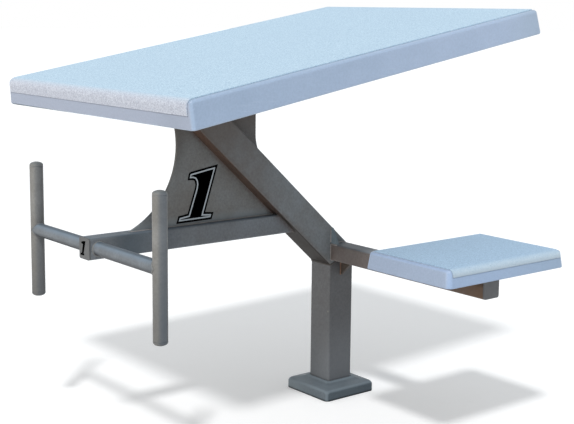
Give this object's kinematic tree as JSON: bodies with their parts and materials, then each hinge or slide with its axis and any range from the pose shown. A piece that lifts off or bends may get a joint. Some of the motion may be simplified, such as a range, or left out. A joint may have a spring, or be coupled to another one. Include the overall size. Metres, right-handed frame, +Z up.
{
  "type": "swimming starting block",
  "caption": "Single-post swimming starting block with a sloped non-slip platform, a side step on an arm, backstroke hand grips on a front rail and a square base cover.",
  "frame": {"origin": "centre of the post's base plate, on the deck", "axes": "+Z up, -Y towards the pool (the low edge of the platform), +X towards the side step"},
  "size_m": [0.773, 0.8176, 0.776],
  "materials": {
    "frame_coating": "satin powder coat, dark grey",
    "grip_coating": "satin powder coat, mid grey",
    "cover_coating": "satin powder coat, blue grey",
    "shell_plastic": "moulded, semi-gloss, pale blue",
    "tread_grit": "matt, sand-textured non-slip coat, pale blue",
    "core_board": "matt structural board",
    "cap_plastic": "matt, moulded",
    "stainless": "turned and cold-formed stainless"
  },
  "bodies": {
    "block": {"main_post": "frame_coating", "diagonal_arm": "frame_coating", "front_rail": "frame_coating", "gusset_plate": "frame_coating", "rear_gusset": "frame_coating", "step_arm": "frame_coating", "arm_top_gusset": "frame_coating", "arm_under_gusset": "frame_coating", "base_plate": "frame_coating", "platform_mount_plate": "frame_coating", "step_mount_plate": "frame_coating", "grip_crossbar": "grip_coating", "grip_bar_left": "grip_coating", "grip_bar_right": "grip_coating", "grip_plug_left_top": "grip_coating", "grip_plug_left_bottom": "grip_coating", "grip_plug_right_top": "grip_coating", "grip_plug_right_bottom": "grip_coating", "rail_end_cap": "cap_plastic", "step_arm_end_cap": "cap_plastic", "platform_shell": "shell_plastic", "step_shell": "shell_plastic", "platform_tread": "tread_grit", "step_tread": "tread_grit", "platform_core": "core_board", "step_core": "core_board", "anchor_bolt_1": "stainless", "anchor_washer_1": "stainless", "anchor_bolt_2": "stainless", "anchor_washer_2": "stainless", "anchor_bolt_3": "stainless", "anchor_washer_3": "stainless", "anchor_bolt_4": "stainless", "anchor_washer_4": "stainless", "platform_bolt_1": "stainless", "platform_washer_1": "stainless", "platform_bolt_2": "stainless", "platform_washer_2": "stainless", "platform_bolt_3": "stainless", "platform_washer_3": "stainless", "platform_bolt_4": "stainless", "platform_washer_4": "stainless", "platform_bolt_5": "stainless", "platform_washer_5": "stainless", "platform_bolt_6": "stainless", "platform_washer_6": "stainless", "step_bolt_1": "stainless", "step_washer_1": "stainless", "step_bolt_2": "stainless", "step_washer_2": "stainless", "step_bolt_3": "stainless", "step_washer_3": "stainless", "step_bolt_4": "stainless", "step_washer_4": "stainless"},
    "cover": {"base_cover": "cover_coating"}
  },
  "joints": [
    {"name": "base_cover_lift", "type": "slide", "parent": "block", "child": "cover", "axis": [0, 0, 1], "range_m": [0, 0.212]}
  ]
}
